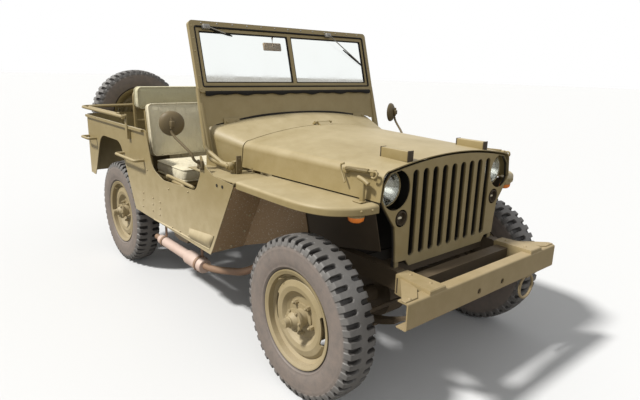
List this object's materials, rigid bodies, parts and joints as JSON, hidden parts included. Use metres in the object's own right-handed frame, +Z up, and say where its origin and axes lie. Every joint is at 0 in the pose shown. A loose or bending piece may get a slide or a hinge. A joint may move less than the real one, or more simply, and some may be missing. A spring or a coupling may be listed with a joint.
{
  "type": "army 4x4 car",
  "caption": "Open unarmed army 4x4 car with folding windshield, flat slotted grille, tip-up seat, stowed top bows, spare wheel at the back and steered, turning wheels.",
  "frame": {"origin": "on the ground, under the middle of the car", "axes": "+X forward, +Y to the car's left, +Z up"},
  "size_m": [3.34, 1.7192, 1.6035],
  "materials": {
    "body_paint": "sun-faded matt olive paint with dust",
    "frame_paint": "matt olive paint, chipped at the edges",
    "running_gear": "painted castings under road dust",
    "engine_castings": "painted castings, dull",
    "exhaust_steel": "heat-browned steel",
    "tyre_rubber": "worn rubber with road dust",
    "hardwood": "bare weathered wood",
    "window_glass": "clear flat glass",
    "lamp_glass": "clear and coloured lenses on steel shells",
    "seat_canvas": "faded canvas",
    "grip_plastic": "painted grip, worn"
  },
  "bodies": {
    "car_body": {"side_left": "body_paint", "side_right": "body_paint", "rear_panel": "body_paint", "floor": "body_paint", "cowl": "body_paint", "grille": "body_paint", "fender_left": "body_paint", "fender_right": "body_paint", "mirrors": "body_paint", "grab_handles": "body_paint", "chassis_frame": "frame_paint", "front_bumper": "frame_paint", "rear_bumperettes": "frame_paint", "tow_hook": "frame_paint", "driver_seat_frame": "frame_paint", "rear_seat_pan": "frame_paint", "bow_brackets": "frame_paint", "steering_column": "frame_paint", "fuel_tank": "frame_paint", "spare_carrier": "frame_paint", "spare_wheel": "frame_paint", "front_axle": "running_gear", "rear_axle": "running_gear", "leaf_springs": "running_gear", "drive_shafts": "running_gear", "engine": "engine_castings", "gearbox": "engine_castings", "radiator": "engine_castings", "exhaust": "exhaust_steel", "spare_tyre": "tyre_rubber", "bumper_filler": "hardwood", "lamps": "lamp_glass", "driver_seat_cushions": "seat_canvas", "rear_seat_cushion": "seat_canvas"},
    "hood": {"hood": "body_paint", "hood_blocks": "hardwood"},
    "windshield": {"windshield_frame": "body_paint", "windshield_glass": "window_glass"},
    "passenger_seat": {"passenger_seat_frame": "frame_paint", "passenger_seat_cushions": "seat_canvas"},
    "rear_seat_back": {"rear_back_frame": "frame_paint", "rear_bolster": "seat_canvas"},
    "front_bow": {"front_bow": "frame_paint"},
    "rear_bow": {"rear_bow": "frame_paint"},
    "steering_wheel": {"steering_wheel": "grip_plastic"},
    "knuckle_left": {"knuckle_left": "running_gear"},
    "knuckle_right": {"knuckle_right": "running_gear"},
    "tie_rod": {"tie_rod": "running_gear"},
    "wheel_front_left": {"tyre_front_left": "tyre_rubber", "wheel_front_left": "frame_paint"},
    "wheel_front_right": {"tyre_front_right": "tyre_rubber", "wheel_front_right": "frame_paint"},
    "wheel_rear_left": {"tyre_rear_left": "tyre_rubber", "wheel_rear_left": "frame_paint"},
    "wheel_rear_right": {"tyre_rear_right": "tyre_rubber", "wheel_rear_right": "frame_paint"}
  },
  "joints": [
    {"name": "hood_open", "type": "hinge", "parent": "car_body", "child": "hood", "pos_m": [0.531, 0, 1.088], "axis": [0, -1, 0], "range_deg": [0, 100]},
    {"name": "windshield_fold", "type": "hinge", "parent": "car_body", "child": "windshield", "pos_m": [0.567, 0, 0.905], "axis": [0, -1, 0], "range_deg": [-105, 0]},
    {"name": "passenger_seat_tip", "type": "hinge", "parent": "car_body", "child": "passenger_seat", "pos_m": [0.012, -0.385, 0.548], "axis": [0, 1, 0], "range_deg": [0, 50]},
    {"name": "rear_seat_fold", "type": "hinge", "parent": "car_body", "child": "rear_seat_back", "pos_m": [-1.125, 0, 0.7], "axis": [0, 1, 0], "range_deg": [0, 62]},
    {"name": "front_bow_raise", "type": "hinge", "parent": "car_body", "child": "front_bow", "pos_m": [-0.488, 0, 1.056], "axis": [0, 1, 0], "range_deg": [0, 65]},
    {"name": "rear_bow_swing", "type": "hinge", "parent": "front_bow", "child": "rear_bow", "pos_m": [-0.675, 0, 1.056], "axis": [0, 1, 0], "range_deg": [-20, 0]},
    {"name": "steering_wheel_turn", "type": "hinge", "parent": "car_body", "child": "steering_wheel", "pos_m": [0.087, 0.36, 1.085], "axis": [-0.832, 0.0733, 0.5499], "range_deg": [-340, 340]},
    {"name": "steer_right", "type": "hinge", "parent": "car_body", "child": "knuckle_right", "pos_m": [1.187, -0.474, 0.356], "axis": [0, 0, 1], "range_deg": [-24, 24]},
    {"name": "steer_left", "type": "hinge", "parent": "car_body", "child": "knuckle_left", "pos_m": [1.187, 0.474, 0.356], "axis": [0, 0, 1], "range_deg": [-24.5, 24.5]},
    {"name": "tie_rod_pivot", "type": "hinge", "parent": "knuckle_right", "child": "tie_rod", "pos_m": [1.365, -0.474, 0.375], "axis": [0, 0, 1], "range_deg": [-24.5, 24.5]},
    {"name": "wheel_front_left_spin", "type": "hinge", "parent": "knuckle_left", "child": "wheel_front_left", "pos_m": [1.187, 0.622, 0.356], "axis": [0, 1, 0], "continuous": true},
    {"name": "wheel_front_right_spin", "type": "hinge", "parent": "knuckle_right", "child": "wheel_front_right", "pos_m": [1.187, -0.622, 0.356], "axis": [0, 1, 0], "continuous": true},
    {"name": "wheel_rear_left_spin", "type": "hinge", "parent": "car_body", "child": "wheel_rear_left", "pos_m": [-0.845, 0.622, 0.356], "axis": [0, 1, 0], "continuous": true},
    {"name": "wheel_rear_right_spin", "type": "hinge", "parent": "car_body", "child": "wheel_rear_right", "pos_m": [-0.845, -0.622, 0.356], "axis": [0, 1, 0], "continuous": true}
  ],
  "couplings": [
    {"joint": "steer_left", "follows": "steer_right", "ratio": 1},
    {"joint": "tie_rod_pivot", "follows": "steer_right", "ratio": -1},
    {"joint": "steering_wheel_turn", "follows": "steer_right", "ratio": 14},
    {"joint": "rear_bow_swing", "follows": "front_bow_raise", "ratio": -0.3}
  ]
}
